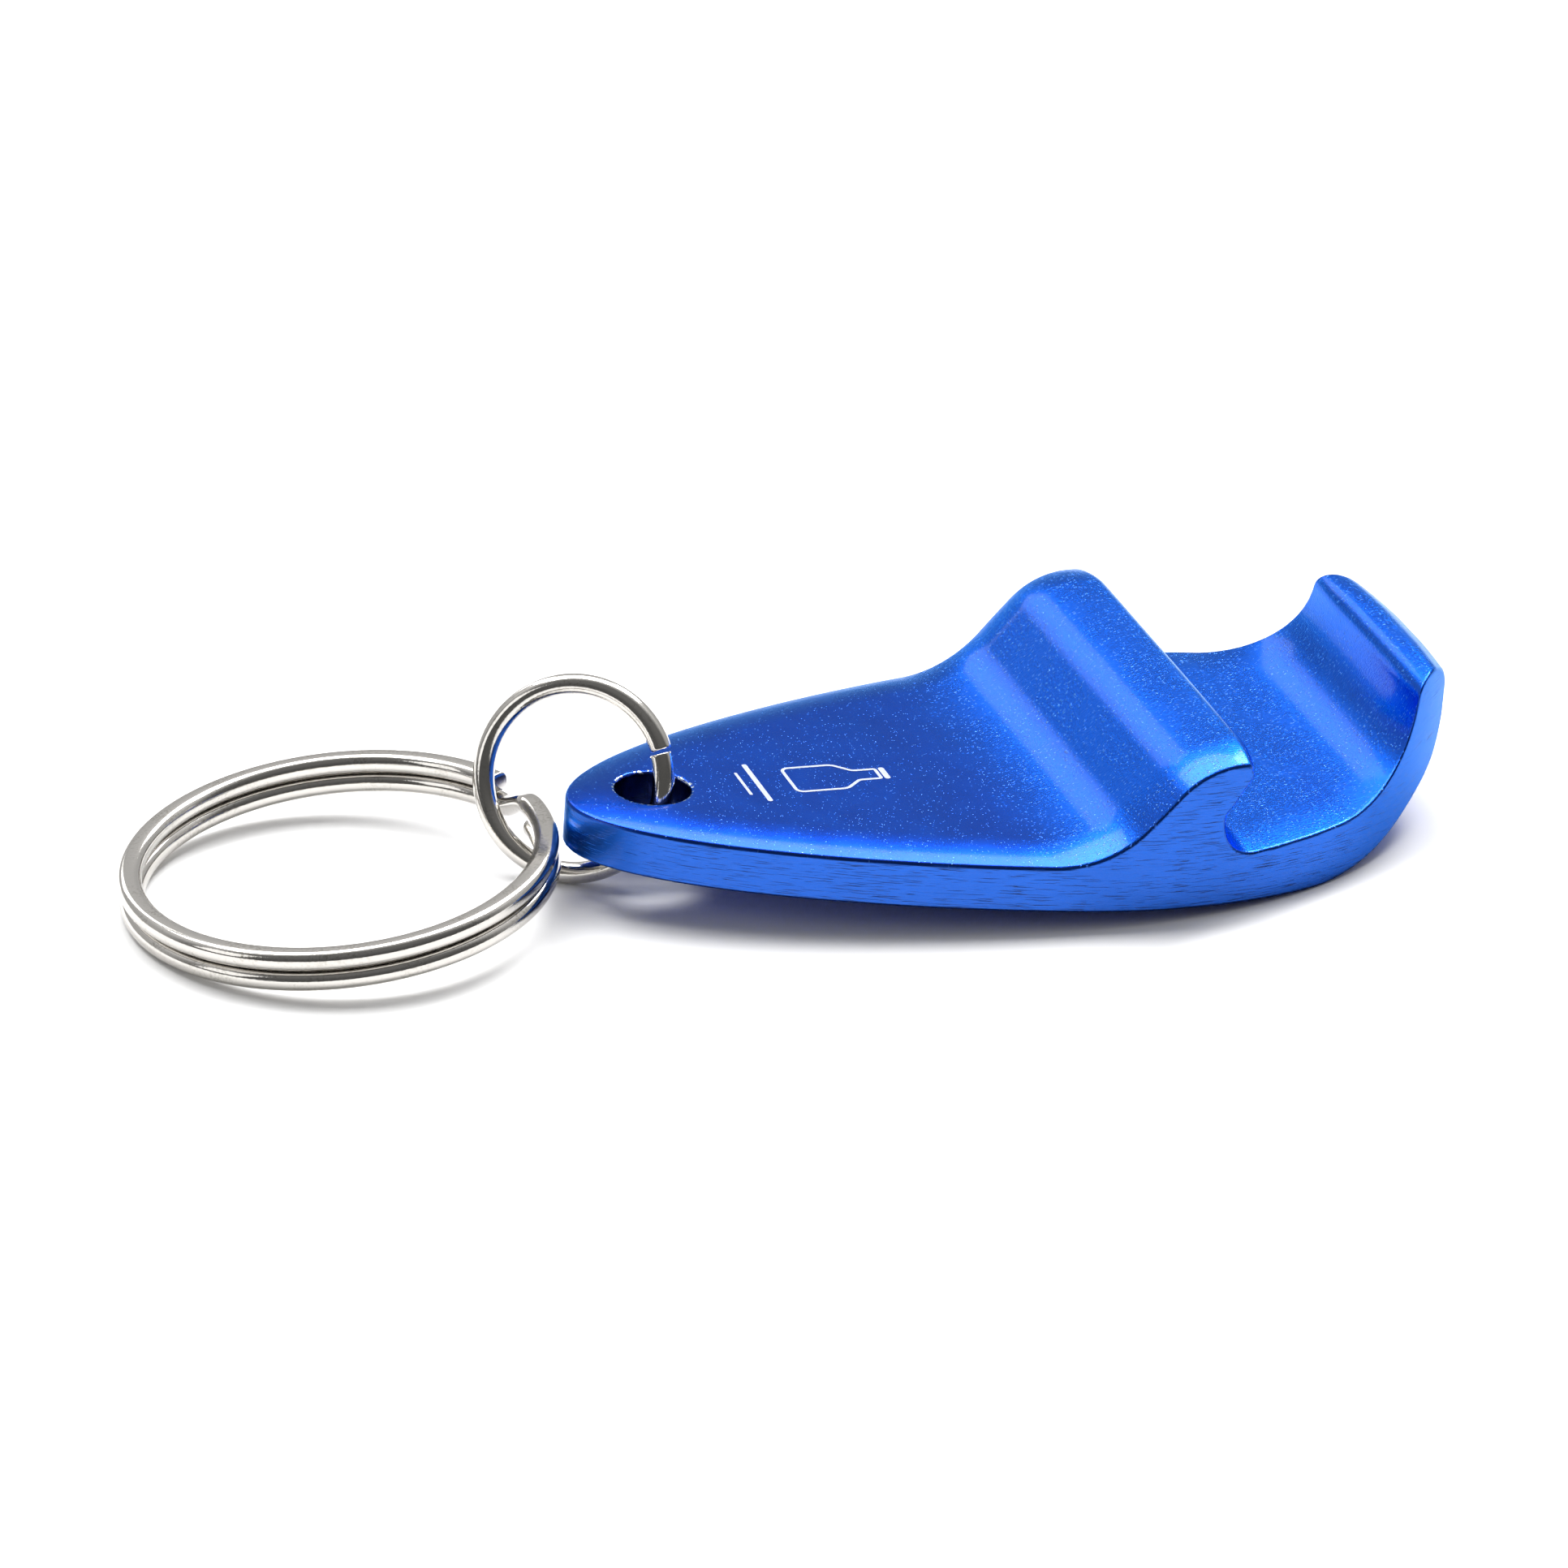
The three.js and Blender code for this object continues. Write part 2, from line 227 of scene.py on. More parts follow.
@dataclass
class NodeGraph:
    """A node tree with short ways to add nodes and to join them."""

    tree: bpy.types.NodeTree

    def add(self, kind: str, inputs: dict | None = None, **settings: object) -> bpy.types.Node:
        """Adds a node.

        Args:
            kind: The node's type name.
            inputs: Values or sockets for its inputs, by name or number.
            settings: The node's own settings.

        Returns:
            The new node.
        """
        node = self.tree.nodes.new(kind)
        for name, value in settings.items():
            setattr(node, name, value)
        for key, value in (inputs or {}).items():
            self.put(node.inputs[key], value)
        return node

    def put(self, socket: Socket, value: object) -> None:
        """Sets a socket to a value, or joins it to another socket.

        Args:
            socket: The socket that is set.
            value: The value, or the socket that it is joined to.
        """
        if isinstance(value, Socket):
            self.tree.links.new(value, socket)
        else:
            socket.default_value = value

    def math(self, operation: str, *values: object, clamp: bool = False) -> Socket:
        """One step of arithmetic.

        Args:
            operation: The operation's name.
            values: The numbers or sockets that it takes.
            clamp: Whether the result is kept from 0 to 1.

        Returns:
            The result's socket.
        """
        inputs = dict(enumerate(values))
        node = self.add("ShaderNodeMath", inputs, operation=operation, use_clamp=clamp)
        return node.outputs[0]

    def vector_math(self, operation: str, *values: object) -> Socket:
        """One step of vector arithmetic, with its result's socket."""
        node = self.add("ShaderNodeVectorMath", dict(enumerate(values)), operation=operation)
        return node.outputs[0]

    def smooth(self, value: object, low: float, high: float) -> Socket:
        """A smooth step from 0 at low to 1 at high.

        Args:
            value: The socket that is stepped.
            low: Where the result is 0.
            high: Where the result is 1.

        Returns:
            The result's socket.
        """
        inputs = {"Value": value, "From Min": low, "From Max": high}
        node = self.add("ShaderNodeMapRange", inputs, interpolation_type="SMOOTHSTEP")
        return node.outputs["Result"]

    def attribute(self, name: str, part: str = "Vector") -> Socket:
        """A piece's own attribute, as the named output."""
        return self.add("ShaderNodeAttribute", attribute_name=name).outputs[part]

    def noise(self, vector: object, stretch: tuple, detail: float = 2.0) -> Socket:
        """Noise on stretched coordinates.

        Args:
            vector: The coordinates' socket.
            stretch: How many features a unit holds along each coordinate.
            detail: How many finer layers are added.

        Returns:
            The noise value's socket, around one half.
        """
        scaled = self.vector_math("MULTIPLY", vector, stretch)
        node = self.add("ShaderNodeTexNoise", {"Vector": scaled, "Scale": 1.0, "Detail": detail})
        return node.outputs["Fac"]

    def flecks(self, vector: object, stretch: tuple, share: float) -> Socket:
        """Scattered grains that stand out of a surface.

        Args:
            vector: The coordinates' socket.
            stretch: How many grains a unit holds along each coordinate.
            share: The share of grains that show.

        Returns:
            A socket that is 1 in the middle of a showing grain and 0 away from it.
        """
        scaled = self.vector_math("MULTIPLY", vector, stretch)
        cells = self.add("ShaderNodeTexVoronoi", {"Vector": scaled, "Scale": 1.0})
        spread = self.add("ShaderNodeSeparateColor", {"Color": cells.outputs["Color"]})
        shows = self.math("GREATER_THAN", spread.outputs["Red"], 1 - share)
        near = self.smooth(cells.outputs["Distance"], 0.42, 0.12)
        return self.math("MULTIPLY", shows, near)

    def mix(self, factor: object, first: object, second: object) -> Socket:
        """A mix of two colours.

        Args:
            factor: 0 for the first colour, 1 for the second.
            first: The first colour, or its socket.
            second: The second colour, or its socket.

        Returns:
            The mixed colour's socket.
        """
        node = self.add("ShaderNodeMix", data_type="RGBA")
        self.put(node.inputs[0], factor)
        self.put(node.inputs[6], first)
        self.put(node.inputs[7], second)
        return node.outputs[2]

    def bump(self, height: object, strength: float, depth: float, over: object = None) -> Socket:
        """A bumpy normal.

        Args:
            height: The height's socket.
            strength: How strongly it tells, from 0 to 1.
            depth: The height of one unit, in metres.
            over: The normal that it is laid over, if there is one.

        Returns:
            The normal's socket.
        """
        inputs = {"Height": height, "Strength": strength, "Distance": depth}
        if over is not None:
            inputs["Normal"] = over
        return self.add("ShaderNodeBump", inputs).outputs["Normal"]


def new_material(name: str) -> tuple[Finish, NodeGraph, bpy.types.Node]:
    """A new material with its own shader node.

    Args:
        name: The material's name.

    Returns:
        The material, its node graph and its shader node.
    """
    material = bpy.data.materials.new(name)
    material.use_nodes = True
    graph = NodeGraph(material.node_tree)
    return material, graph, material.node_tree.nodes["Principled BSDF"]


@dataclass(frozen=True)
class AnodisedBlue:
    """Tumbled aluminium, etched and anodised bright blue, with sawn flanks and a drilled hole."""

    plate: Colour = (0.002, 0.041, 0.40, 1)
    # Painted light: a lighter blue for the hook and the lip, standing for the light that their curves catch.
    worked_and_lit: Colour = (0.005, 0.082, 0.55, 1)
    # Painted light: the flanks carry the plate's dye, painted lighter here for how the flanks look under the
    # lights.
    flank: Colour = (0.013, 0.102, 0.50, 1)
    # Painted shade: the darker blue inside the drilled hole.
    bore_shade: Colour = (0.012, 0.03, 0.16, 1)
    # Painted glint: the bright blue given to the skin's sparkling grains.
    fleck_glint: Colour = (0.26, 0.54, 1.0, 1)
    scratch: Colour = (0.006, 0.03, 0.18, 1)
    # Painted shade: the dark line along the rounding of the edges, standing for the dark reflection that the edge
    # shows under the lights.
    edge: Colour = (0.002, 0.018, 0.14, 1)
    bare_metal: Colour = (0.50, 0.56, 0.66, 1)
    edge_tint: Colour = (0.32, 0.68, 1.0, 1)
    roughness: float = 0.27
    coat: float = 0.23
    coat_ior: float = 1.6
    coat_roughness: float = 0.12
    fine_pits: Stretch = (9.0, 9.0, 9.0)
    drawn_grain: Stretch = (3.2, 10.0, 5.0)
    clouds: Stretch = (0.5, 0.35, 0.5)
    ripples: Stretch = (0.9, 1.6, 1.0)
    patches: Stretch = (0.25, 0.18, 0.3)
    dots: Stretch = (7.5, 7.5, 7.5)
    dots_share: float = 0.12
    dashes: Stretch = (3.0, 8.5, 4.0)
    dashes_share: float = 0.20
    die_lines: Stretch = (22.0, 0.05, 1.0)
    saw_lines: Stretch = (0.3, 14.0, 1.0)
    saw_waves: Stretch = (0.12, 0.5, 0.3)
    saw_dashes: Stretch = (0.45, 16.0, 1.0)
    chip_grain: Stretch = (2600.0, 2600.0, 2600.0)
    skin_depth: float = 0.000035
    saw_depth: float = 0.00003

    def build(self) -> Finish:
        """Builds the finish from the body's own attributes, all in millimetres.

        Returns:
            The material.
        """
        material, graph, shader = new_material("anodised_blue")
        skin = graph.attribute("profile_at")
        side = graph.attribute("outline_at")
        flank_share = graph.attribute("flank", "Fac")
        flank = graph.smooth(flank_share, 0.55, 0.95)
        bore_shade = graph.attribute("bore_shade", "Fac")
        worked_and_lit = graph.attribute("worked_and_lit", "Fac")
        rim = graph.attribute("rim", "Fac")
        colour, pits = self.extruded_face(graph, skin, worked_and_lit)
        side_colour, cuts = self.sawn_face(graph, side)
        colour = graph.mix(flank, colour, side_colour)
        # Painted shade: a thin dark line is mixed in along the rounding between the extruded faces and the flanks,
        # standing for the dark reflection there.
        past_edge = graph.smooth(flank_share, 0.97, 0.72)
        line = graph.math("MULTIPLY", graph.smooth(flank_share, 0.22, 0.5), past_edge)
        colour = graph.mix(graph.math("MULTIPLY", line, 0.45), colour, self.edge)
        # Painted shade: the inside of the hole is painted darker.
        colour = graph.mix(bore_shade, colour, self.bore_shade)
        chips = self.rim_chips(graph, rim)
        shader.inputs["Metallic"].default_value = 1.0
        graph.put(shader.inputs["Base Color"], graph.mix(chips, colour, self.bare_metal))
        extruded = graph.math("SUBTRACT", 1.0, flank)
        skin_height = graph.math("MULTIPLY", pits, extruded)
        normal = graph.bump(skin_height, 1.0, self.skin_depth)
        normal = graph.bump(graph.math("MULTIPLY", cuts, flank), 1.0, self.saw_depth, normal)
        graph.put(shader.inputs["Normal"], normal)
        patches = graph.noise(skin, self.patches, 3.0)
        rough = graph.math("MULTIPLY_ADD", patches, 0.10, self.roughness - 0.05)
        rough = graph.math("MULTIPLY_ADD", flank, 0.08, rough)
        graph.put(shader.inputs["Roughness"], rough)
        shader.inputs["Specular Tint"].default_value = self.edge_tint
        shader.inputs["Coat Weight"].default_value = self.coat
        shader.inputs["Coat IOR"].default_value = self.coat_ior
        shader.inputs["Coat Roughness"].default_value = self.coat_roughness
        return material

    def extruded_face(self, graph: NodeGraph, skin: object, worked_and_lit: object) -> tuple:
        """Colour and height of the extruded skin: fine pits and flecks, coarser where it is curved. The curved
        part is also painted lighter as painted light, and the flecks' bright colour is a painted glint.

        Args:
            graph: The material's node graph.
            skin: The run along the profile and across it.
            worked_and_lit: 0 on the plate, and 1 from the foot of the hook to the lip.

        Returns:
            The colour's socket and the height's socket.
        """
        fine = graph.noise(skin, self.fine_pits, 3.0)
        grain = graph.noise(skin, self.drawn_grain, 2.0)
        clouds = graph.noise(skin, self.clouds, 3.0)
        wide = graph.noise(skin, self.ripples, 2.0)
        dots = graph.flecks(skin, self.dots, self.dots_share)
        dashes = graph.flecks(skin, self.dashes, self.dashes_share)
        # Painted light: the hook and the lip are painted lighter than the plate. The same mask also gives them
        # coarser grain below.
        colour = graph.mix(worked_and_lit, self.plate, self.worked_and_lit)
        shade = graph.math("MULTIPLY_ADD", clouds, 0.5, -0.12, clamp=True)
        colour = graph.mix(shade, colour, self.worked_and_lit)
        # Painted glints: bright flecks of colour on the skin, over grains that the bump below also raises.
        light = graph.math("MAXIMUM", dots, graph.math("MULTIPLY", dashes, worked_and_lit))
        glinting = graph.math("MULTIPLY", light, graph.smooth(fine, 0.35, 0.7))
        colour = graph.mix(graph.math("MULTIPLY", glinting, 0.85), colour, self.fleck_glint)
        height = graph.math("MULTIPLY", fine, 0.28)
        raised = graph.math("MULTIPLY", graph.math("ADD", grain, dashes), worked_and_lit)
        height = graph.math("MULTIPLY_ADD", raised, 0.75, height)
        height = graph.math("MULTIPLY_ADD", wide, 0.2, height)
        die_lines = graph.noise(skin, self.die_lines, 2.0)
        height = graph.math("MULTIPLY_ADD", die_lines, 0.10, height)
        return colour, graph.math("MULTIPLY_ADD", dots, 0.35, height)

    def sawn_face(self, graph: NodeGraph, side: object) -> tuple:
        """Colour and height of the sawn flanks: fine lines and short dark cuts that follow the outline, on a blue
        that is painted lighter than the plate's as painted light.

        Args:
            graph: The material's node graph.
            side: The run along the outline and the height.

        Returns:
            The colour's socket and the height's socket.
        """
        lines = graph.noise(side, self.saw_lines, 3.0)
        waves = graph.noise(side, self.saw_waves, 2.0)
        dashes = graph.noise(side, self.saw_dashes, 2.0)
        grown = graph.math("ADD", dashes, graph.math("MULTIPLY", waves, 0.22))
        dark = graph.smooth(grown, 0.72, 0.82)
        fine = graph.math("MULTIPLY", lines, 0.35)
        colour = graph.mix(fine, self.flank, self.worked_and_lit)
        colour = graph.mix(graph.math("MULTIPLY", dark, 0.8), colour, self.scratch)
        height = graph.math("MULTIPLY_ADD", lines, 0.5, graph.math("MULTIPLY", waves, 1.5))
        return colour, graph.math("SUBTRACT", height, graph.math("MULTIPLY", dark, 0.8))

    def rim_chips(self, graph: NodeGraph, rim: object) -> Socket:
        """Where the blue is chipped off the hole's rim.

        Args:
            graph: The material's node graph.
            rim: 1 on the rim's rounding, falling to 0 around it.

        Returns:
            A socket that is 1 on bare metal.
        """
        place = graph.add("ShaderNodeTexCoord").outputs["Object"]
        broken = graph.noise(place, self.chip_grain, 3.0)
        worn = graph.math("MULTIPLY", rim, graph.smooth(broken, 0.42, 0.56))
        return graph.smooth(worn, 0.66, 0.9)


@dataclass(frozen=True)
class NickelPlate:
    """Bright nickel on drawn steel, with fine grain and drawing lines."""

    colour: Colour = (0.58, 0.56, 0.53, 1)
    dull: Colour = (0.42, 0.40, 0.36, 1)
    roughness: float = 0.12
    drawing_lines: Stretch = (5.0, 5.0, 0.12)
    plating_grain: Stretch = (5200.0, 5200.0, 5200.0)
    plating_stains: Stretch = (420.0, 420.0, 420.0)
    grain_depth: float = 0.00001
    line_depth: float = 0.000012

    def build(self) -> Finish:
        """Builds the finish from the ring's own run and section attributes.

        Returns:
            The material.
        """
        material, graph, shader = new_material("nickel_plate")
        place = graph.add("ShaderNodeTexCoord").outputs["Object"]
        run = graph.attribute("run_at", "Fac")
        section = graph.attribute("section_at")
        split = graph.add("ShaderNodeSeparateXYZ", {"Vector": section})
        x, y = split.outputs["X"], split.outputs["Y"]
        drawn = graph.add("ShaderNodeCombineXYZ", {"X": x, "Y": y, "Z": run}).outputs["Vector"]
        lines = graph.noise(drawn, self.drawing_lines, 3.0)
        grain = graph.noise(place, self.plating_grain, 3.0)
        stains = graph.noise(place, self.plating_stains, 4.0)
        spots = graph.smooth(graph.math("MULTIPLY", grain, stains), 0.25, 0.50)
        shader.inputs["Metallic"].default_value = 1.0
        graph.put(shader.inputs["Base Color"], graph.mix(spots, self.colour, self.dull))
        rough = graph.math("MULTIPLY_ADD", stains, 0.12, self.roughness - 0.06)
        graph.put(shader.inputs["Roughness"], rough)
        normal = graph.bump(grain, 0.55, self.grain_depth)
        graph.put(shader.inputs["Normal"], graph.bump(lines, 0.5, self.line_depth, normal))
        return material


@dataclass(frozen=True)
class LaserMark:
    """Aluminium laid bare and frosted by a laser."""

    colour: Colour = (0.52, 0.55, 0.62, 1)
    shaded: Colour = (0.28, 0.32, 0.46, 1)
    roughness: float = 0.5
    metallic: float = 0.55
    hatching: Stretch = (9000.0, 1500.0, 1500.0)
    hatch_depth: float = 0.00001

    def build(self) -> Finish:
        """Builds the finish with the laser's fine hatching.

        Returns:
            The material.
        """
        material, graph, shader = new_material("laser_mark")
        place = graph.add("ShaderNodeTexCoord").outputs["Object"]
        hatch = graph.noise(place, self.hatching, 2.0)
        graph.put(shader.inputs["Base Color"], graph.mix(hatch, self.colour, self.shaded))
        shader.inputs["Metallic"].default_value = self.metallic
        shader.inputs["Roughness"].default_value = self.roughness
        graph.put(shader.inputs["Normal"], graph.bump(hatch, 0.5, self.hatch_depth))
        return material


# ---- Meshes and objects ----


def link_object(name: str, mesh: bpy.types.Mesh) -> Piece:
    """Puts a mesh into the scene as a new object.

    Args:
        name: The object's name.
        mesh: Its mesh.

    Returns:
        The new object.
    """
    made = bpy.data.objects.new(name, mesh)
    bpy.context.scene.collection.objects.link(made)
    return made


def evaluated_copy(source: Piece, name: str) -> bpy.types.Mesh:
    """The mesh that an object's modifiers make, after which the object is removed.

    Args:
        source: The object with its modifiers.
        name: The new mesh's name.

    Returns:
        The plain mesh.
    """
    graph = bpy.context.evaluated_depsgraph_get()
    mesh = bpy.data.meshes.new_from_object(source.evaluated_get(graph), depsgraph=graph)
    mesh.name = name
    bpy.data.objects.remove(source)
    return mesh


def coordinates(mesh: bpy.types.Mesh) -> np.ndarray:
    """Reads where a mesh's vertices are.

    Args:
        mesh: The mesh.

    Returns:
        Their coordinates, one row each.
    """
    flat = np.empty(len(mesh.vertices) * 3, np.float32)
    mesh.vertices.foreach_get("co", flat)
    return flat.reshape(-1, 3).astype(float)


def store(mesh: bpy.types.Mesh, name: str, values: np.ndarray) -> None:
    """Stores an attribute on a mesh's vertices.

    Args:
        mesh: The mesh.
        name: The attribute's name.
        values: One number for each vertex, or one row of three.
    """
    vectors = values.ndim == 2
    layer = mesh.attributes.new(name, "FLOAT_VECTOR" if vectors else "FLOAT", "POINT")
    key = "vector" if vectors else "value"
    layer.data.foreach_set(key, np.ascontiguousarray(values, np.float32).ravel())


def ease(value: np.ndarray, low: float, high: float) -> np.ndarray:
    """A smooth step of an array, from 0 at low to 1 at high."""
    t = np.clip((value - low) / (high - low), 0, 1)
    return t * t * (3 - 2 * t)


# ---- The opener ----


def rounded_meeting(
    p: np.ndarray, p_normal: np.ndarray, q: np.ndarray, q_normal: np.ndarray, radius: float
) -> tuple[np.ndarray, np.ndarray, np.ndarray]:
    """Joins two faces by a rounded edge.

    Args:
        p: The points' heights above the first face sunk by the radius.
        p_normal: The first face's normals.
        q: The points' heights above the second face sunk by the radius.
        q_normal: The second face's normals.
        radius: The edge's radius.

    Returns:
        The heights above the joined skin, its normals, and the second face's share in them.
    """
    both = (p > 0) & (q > 0)
    span = np.maximum(np.hypot(p, q), 1e-9)
    height = np.where(both, span, np.maximum(p, q)) - radius
    first = np.where(both, p / span, p >= q)[:, None]
    second = np.where(both, q / span, q > p)[:, None]
    slope = first * p_normal + second * q_normal
    slope /= np.maximum(np.linalg.norm(slope, axis=1), 1e-9)[:, None]
    share = np.where(both, (q / span) ** 2, (q > p).astype(float))
    return height, slope, share


@dataclass
class SkinState:
    """Where points lie against the opener's rounded skin.

    Args:
        height: How far each point is above the skin.
        slope: The skin's outward normal there.
        flank: 0 on the extruded faces, 1 on the sawn flanks.
        profile_run: The run along the profile.
        outline_run: The run along the outline.
        rim: How close each point is to the hole's rim, from 0 to 1.
        bore_shade: 1 inside the hole.
    """

    height: np.ndarray
    slope: np.ndarray
    flank: np.ndarray
    profile_run: np.ndarray
    outline_run: np.ndarray
    rim: np.ndarray
    bore_shade: np.ndarray


@dataclass
class ProfileSizes:
    """The extruded profile's corners: how far from the lip's back, how high over the plate, how round."""

    past_nose: float = 2.0
    past_nose_radius: float = 0.1
    foot_from_lip: float = 28.8
    foot_radius: float = 7.6
    crown_from_lip: float = 22.3
    crown_height: float = 7.15
    crown_radius: float = 6.6
    tip_from_lip: float = 17.3
    tip_height: float = 6.9
    tip_radius: float = 1.05
    root_from_lip: float = 22.2
    root_depth: float = 0.35
    root_radius: float = 2.0
    floor_from_lip: float = 5.1
    floor_height: float = 1.1
    floor_radius: float = 7.3
    inner_from_lip: float = 4.0
    inner_height: float = 9.8
    inner_radius: float = 1.7
    back_height: float = 7.15
    back_radius: float = 2.5
    heel_height: float = 1.5
    heel_radius: float = 4.8
    belly_from_lip: float = 9.1
    belly_radius: float = 15.8

    def corners(self, back: float, bottom: float) -> Loop:
        """The profile's corners, from behind the nose over the hook and the lip to the belly.

        Args:
            back: Where the lip's back is.
            bottom: Where the plate's underside is.

        Returns:
            Each corner's place along and up, and its radius.
        """
        return [
            (-self.past_nose, bottom, self.past_nose_radius),
            (-self.past_nose, 0, self.past_nose_radius),
            (back - self.foot_from_lip, 0, self.foot_radius),
            (back - self.crown_from_lip, self.crown_height, self.crown_radius),
            (back - self.tip_from_lip, self.tip_height, self.tip_radius),
            (back - self.root_from_lip, -self.root_depth, self.root_radius),
            (back - self.floor_from_lip, self.floor_height, self.floor_radius),
            (back - self.inner_from_lip, self.inner_height, self.inner_radius),
            (back, self.back_height, self.back_radius),
            (back, self.heel_height, self.heel_radius),
            (back - self.belly_from_lip, bottom, self.belly_radius),
        ]


@dataclass
class TeardropSizes:
    """The sizes of the teardrop that the profile is sawn to, seen from above, in millimetres."""

    half_width: float = 17.0
    widest_from_lip: float = 24.2
    nose_fullness: float = 8.7
    flank_reach: float = 8.3
    shoulder_reach: float = 14.8
    lip_corner_in: float = 3.9
    lip_corner_half_width: float = 10.2
    lip_half_width: float = 5.2
    past_lip: float = 3.0
    nose_steps: int = 48
    lip_steps: int = 36

    def outline(self, length: float) -> np.ndarray:
        """The teardrop, carried straight on past the lip.

        Args:
            length: The opener's length.

        Returns:
            The closed outline's points.
        """
        widest = length - self.widest_from_lip
        half = self.half_width
        nose = [(0, 0), (0, self.nose_fullness), (widest - self.flank_reach, half), (widest, half)]
        corner = (length - self.lip_corner_in, self.lip_corner_half_width)
        lip = [(widest, half), (widest + self.shoulder_reach, half), corner, (length, self.lip_half_width)]
        flank = np.vstack([bezier(nose, self.nose_steps), bezier(lip, self.lip_steps)[1:]])
        ahead = flank[-1] - flank[-2]
        onward = flank[-1] + ahead / np.linalg.norm(ahead) * self.past_lip
        side = np.vstack([flank, onward])
        return np.vstack([side * (1, -1), side[:0:-1]])


@dataclass
class OpenerBody:
    """The opener: one extruded profile, sawn to a teardrop, drilled at the nose and tumbled.

    It is modelled in its own millimetres, with the nose tip at the origin, the lip towards +X and
    the plate's top face at z = 0.
    """

    length: float = 61.5
    thickness: float = 4.0
    hole_radius: float = 2.6
    hole_from_nose: float = 6.0
    rim_radius: float = 0.2
    roll_off: float = 3.6
    top_drop: float = 0.6
    under_drop: float = 0.12
    under_facing: Between = (-0.75, -0.25)
    edge_radius: float = 0.2
    skin_cell: float = 0.24
    relaxing: tuple[float, ...] = (0.0, 0.6, 0.6, 0.5, 0.0, 0.0)
    hook_starts: Between = (26.5, 33.0)
    mouth_starts: Between = (38.5, 41.0)
    mouth_heights: Between = (1.5, 4.0)
    lip_starts: Between = (47.0, 54.0)
    lip_less: float = 0.6

    def __post_init__(self) -> None:
        """Works out both outlines and the body's place in the shared frame."""
        corners = ProfileSizes().corners(self.length, -self.thickness)
        self.profile_outline = ClosedOutline(*rounded_corners(corners))
        self.plan_outline = ClosedOutline(TeardropSizes().outline(self.length))
        joint = row_named(frame["joints"], "jump_ring_swing")
        up = Vector(joint["axis"])
        along = Vector((up.z, 0, -up.x))
        hole = Vector(joint["pos_m"])
        nose = hole - along * self.hole_from_nose * MM + up * self.thickness / 2 * MM
        self.place = placement(along, up, nose)

    def drop_at(self, points: np.ndarray, facing_up: np.ndarray) -> np.ndarray:
        """How far the extruded faces have fallen where they meet the flanks.

        Args:
            points: The points, in the body's own millimetres.
            facing_up: The upward part of the profile's normal there.

        Returns:
            The drop at each point, smaller underneath, in the mouth and at the lip.
        """
        drop = self.under_drop + (self.top_drop - self.under_drop) * ease(facing_up, *self.under_facing)
        above_mouth = ease(points[:, 2], *self.mouth_heights)
        mouth = ease(points[:, 0], *self.mouth_starts) * (1 - above_mouth)
        lip = ease(points[:, 0], *self.lip_starts)
        return drop * (1 - self.lip_less * np.maximum(mouth, lip))

    def measure(self, points: np.ndarray) -> SkinState:
        """Measures points against the tumbled skin.

        The extruded faces fall away gently towards the flanks, more on top than underneath, and
        their edges and the hole's rim are rounded.

        Args:
            points: The points, in the body's own millimetres.

        Returns:
            What the skin says about them.
        """
        profile = self.profile_outline.nearest(points[:, [0, 2]])
        outline = self.plan_outline.nearest(points[:, :2])
        profile_normal = np.zeros_like(points)
        profile_normal[:, [0, 2]] = profile.normal
        outline_normal = np.zeros_like(points)
        outline_normal[:, :2] = outline.normal
        drop = self.drop_at(points, profile.normal[:, 1])
        v = np.clip(outline.distance / self.roll_off + 1, 0, 1)
        tilt = 2 * drop * v / self.roll_off
        worn = profile_normal + tilt[:, None] * outline_normal
        steep = np.linalg.norm(worn, axis=1)
        worn /= steep[:, None]
        p = (profile.distance + drop * v**2) / steep + self.edge_radius
        q = outline.distance + self.edge_radius
        height, slope, share = rounded_meeting(p, worn, q, outline_normal, self.edge_radius)
        radial = points[:, :2] - (self.hole_from_nose, 0)
        reach = np.maximum(np.linalg.norm(radial, axis=1), 1e-9)
        bore_normal = np.zeros_like(points)
        bore_normal[:, :2] = -radial / reach[:, None]
        p = height + self.rim_radius
        q = self.hole_radius - reach + self.rim_radius
        final, combined, in_bore = rounded_meeting(p, slope, q, bore_normal, self.rim_radius)
        rim = np.clip(1 - np.hypot(np.minimum(p, 0), np.minimum(q, 0)) / self.rim_radius, 0, 1)
        return SkinState(final, combined, share, profile.run, outline.run, rim, in_bore)

    def build(self, finish: Finish, mark: Finish) -> list[Piece]:
        """Builds the opener and its laser mark.

        Args:
            finish: The anodised finish.
            mark: The laser mark's finish.

        Returns:
            The pieces, in place.
        """
        mesh = self.cell_mesh()
        self.settle(mesh)
        self.write_attributes(mesh)
        mesh.materials.append(finish)
        body = link_object("opener_body_tumbled", mesh)
        return [body, self.build_mark(mark)]

    def cell_mesh(self) -> bpy.types.Mesh:
        """An even skin of small quads over the frame's solid, in the body's own millimetres.

        Returns:
            The mesh.
        """
        solid = frame["nodes"]["opener_body"].data.copy()
        sheet = bmesh.new()
        sheet.from_mesh(solid)
        sheet.transform(self.place.inverted())
        bmesh.ops.remove_doubles(sheet, verts=sheet.verts, dist=0.001)
        sheet.to_mesh(solid)
        sheet.free()
        solid.materials.clear()
        source = link_object("opener_cells", solid)
        cells = source.modifiers.new("cells", "REMESH")
        cells.mode = "VOXEL"
        cells.voxel_size = self.skin_cell
        return evaluated_copy(source, "opener_body_tumbled")

